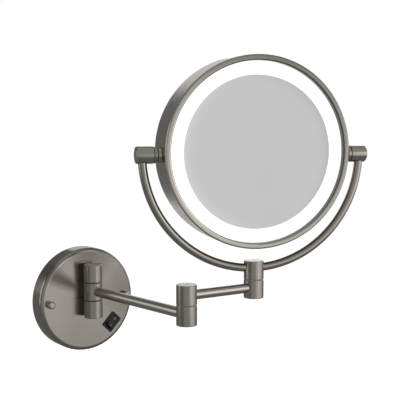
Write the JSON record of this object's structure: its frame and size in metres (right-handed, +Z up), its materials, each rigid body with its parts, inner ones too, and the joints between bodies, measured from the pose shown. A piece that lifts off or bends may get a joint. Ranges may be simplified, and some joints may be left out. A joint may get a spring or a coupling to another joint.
{
  "type": "extendable shaving mirror",
  "caption": "Wall-mounted lighted shaving mirror: round plate with a rocker switch, two-part swing arm, half-hoop yoke and a tilting two-sided round head with a lit ring.",
  "frame": {"origin": "centre of the round wall plate, on the wall's surface", "axes": "+Z up, +Y into the wall, -Y out of the wall towards the user, +X to the right of someone who faces the wall"},
  "size_m": [0.2835, 0.2609, 0.3415],
  "materials": {
    "brushed_nickel": "fine brushed warm grey nickel plate",
    "satin_nickel": "satin nickel plate, a little lighter on the flat hinge caps",
    "zinc_steel": "bright zinc plated steel",
    "dark_nylon": "moulded dark nylon",
    "pale_nylon": "moulded pale grey nylon",
    "driver_case": "moulded white plastic",
    "black_rubber": "soft black rubber",
    "black_plastic": "semi-gloss black",
    "brass_tabs": "stamped",
    "mirror_glass": "silvered glass",
    "frosted_acrylic": "frosted white, lit from behind",
    "circuit_board": "white solder mask",
    "led_lens": "moulded phosphor lens",
    "aluminium_tray": "pressed sheet"
  },
  "bodies": {
    "plate": {"wall_plate_cover": "brushed_nickel", "mounting_plate": "zinc_steel", "plate_studs": "zinc_steel", "left_cap_nut": "brushed_nickel", "right_cap_nut": "brushed_nickel", "hinge_backing_plate": "zinc_steel", "knuckle_screws": "zinc_steel", "upper_wall_knuckle": "brushed_nickel", "lower_wall_knuckle": "brushed_nickel", "wall_hinge_top_cap": "satin_nickel", "wall_hinge_bottom_cap": "satin_nickel", "wall_hinge_pin": "zinc_steel", "wall_hinge_upper_washer": "dark_nylon", "wall_hinge_lower_washer": "dark_nylon", "led_driver": "driver_case", "driver_screws": "zinc_steel", "terminal_block": "driver_case", "supply_grommet": "black_rubber", "switch_housing": "black_plastic", "switch_terminals": "brass_tabs"},
    "rocker": {"switch_rocker": "black_plastic"},
    "arm": {"wall_middle_knuckle": "brushed_nickel", "arm_tube": "brushed_nickel", "elbow_lower_knuckle": "brushed_nickel", "elbow_bottom_cap": "satin_nickel", "elbow_pin": "zinc_steel", "elbow_washer": "pale_nylon"},
    "forearm": {"elbow_upper_knuckle": "brushed_nickel", "elbow_top_cap": "satin_nickel", "forearm_tube": "brushed_nickel", "wrist_lower_knuckle": "brushed_nickel", "wrist_bottom_cap": "satin_nickel", "wrist_pin": "zinc_steel", "wrist_washer": "pale_nylon"},
    "yoke": {"wrist_upper_knuckle": "brushed_nickel", "wrist_top_cap": "satin_nickel", "left_yoke_arm": "brushed_nickel", "right_yoke_arm": "brushed_nickel", "left_pivot_boss": "brushed_nickel", "right_pivot_boss": "brushed_nickel", "left_friction_ring": "brushed_nickel", "right_friction_ring": "brushed_nickel"},
    "head": {"head_drum": "brushed_nickel", "back_ring": "brushed_nickel", "rim_screws": "zinc_steel", "front_mirror": "mirror_glass", "back_mirror": "mirror_glass", "light_diffuser": "frosted_acrylic", "led_board": "circuit_board", "led_chips": "led_lens", "light_tray": "aluminium_tray", "back_mirror_plate": "aluminium_tray", "left_head_collar": "brushed_nickel", "right_head_collar": "brushed_nickel", "left_pivot_pin": "zinc_steel", "right_pivot_pin": "zinc_steel", "pivot_nuts": "zinc_steel"}
  },
  "joints": [
    {"name": "arm_swing", "type": "hinge", "parent": "plate", "child": "arm", "pos_m": [0, -0.0337, 0.0123], "axis": [0, 0, 1], "range_deg": [-90.5, 79.5]},
    {"name": "elbow_swing", "type": "hinge", "parent": "arm", "child": "forearm", "pos_m": [0.01581, -0.19794, 0.0123], "axis": [0, 0, 1], "range_deg": [-248.9, 91.1]},
    {"name": "wrist_swing", "type": "hinge", "parent": "forearm", "child": "yoke", "pos_m": [0.09941, -0.20614, 0.0318], "axis": [0, 0, 1], "range_deg": [-154.2, 185.8]},
    {"name": "head_tilt", "type": "hinge", "parent": "yoke", "child": "head", "pos_m": [0.09941, -0.20614, 0.1749], "axis": [0.9311, -0.3649, 0], "range_deg": [-181.1, 178.9]},
    {"name": "rocker_press", "type": "hinge", "parent": "plate", "child": "rocker", "pos_m": [0.03147, -0.0208, -0.03147], "axis": [0.7071, 0, -0.7071], "range_deg": [0, 18]}
  ]
}
